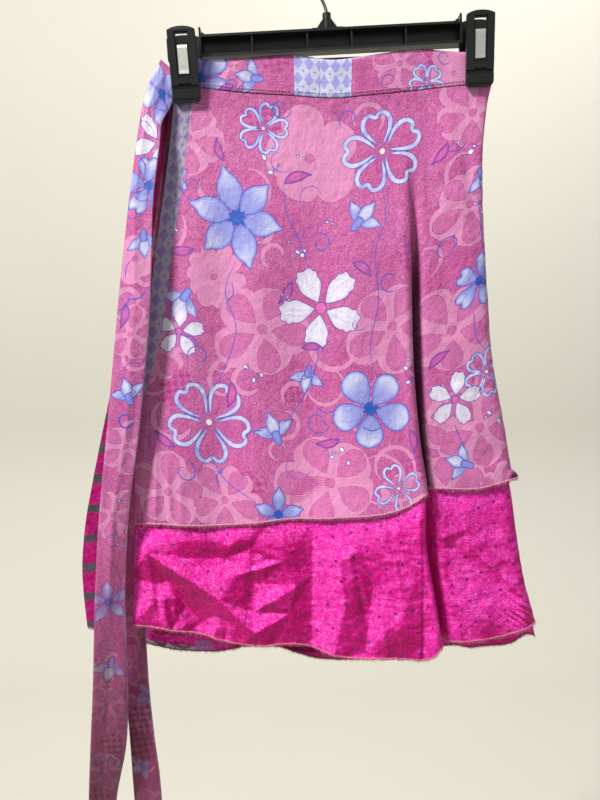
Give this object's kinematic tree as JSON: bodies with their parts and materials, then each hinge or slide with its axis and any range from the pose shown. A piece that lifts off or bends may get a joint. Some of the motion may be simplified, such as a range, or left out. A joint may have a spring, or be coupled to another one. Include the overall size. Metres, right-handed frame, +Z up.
{
  "type": "wrap skirt on a clip hanger",
  "caption": "Two-layer reversible wrap skirt with long ties, folded once and clipped by its waistband to a plastic hanger with a wire hook.",
  "frame": {"origin": "inner top of the hook's crook, where a rail carries the hanger", "axes": "+Z up, -Y the front of the skirt, +X to the right of someone looking at the front; the ties hang on the -X side"},
  "size_m": [0.4774, 0.0581, 1.0151],
  "materials": {
    "print_silk": "pink printed silk with a soft sheen",
    "magenta_satin": "magenta satin with small dark dots",
    "lavender_patch": "lavender harlequin print",
    "black_plastic": "black moulded plastic, semi-gloss",
    "spring_steel": "bright spring steel",
    "hook_wire": "plated steel wire"
  },
  "bodies": {
    "root": {"front_upper_layer": "print_silk", "front_under_layer": "magenta_satin", "back_upper_layer": "print_silk", "back_under_layer": "magenta_satin", "band_front_left": "print_silk", "band_patch_left": "lavender_patch", "band_patch_right": "lavender_patch", "band_front_right": "print_silk", "band_back": "print_silk", "tie_outer": "print_silk", "tie_inner": "print_silk", "hanger_bar": "black_plastic", "clip_left_lever": "black_plastic", "clip_right_lever": "black_plastic", "clip_left_spring": "spring_steel", "clip_right_spring": "spring_steel", "hanger_hook": "hook_wire"}
  },
  "joints": []
}
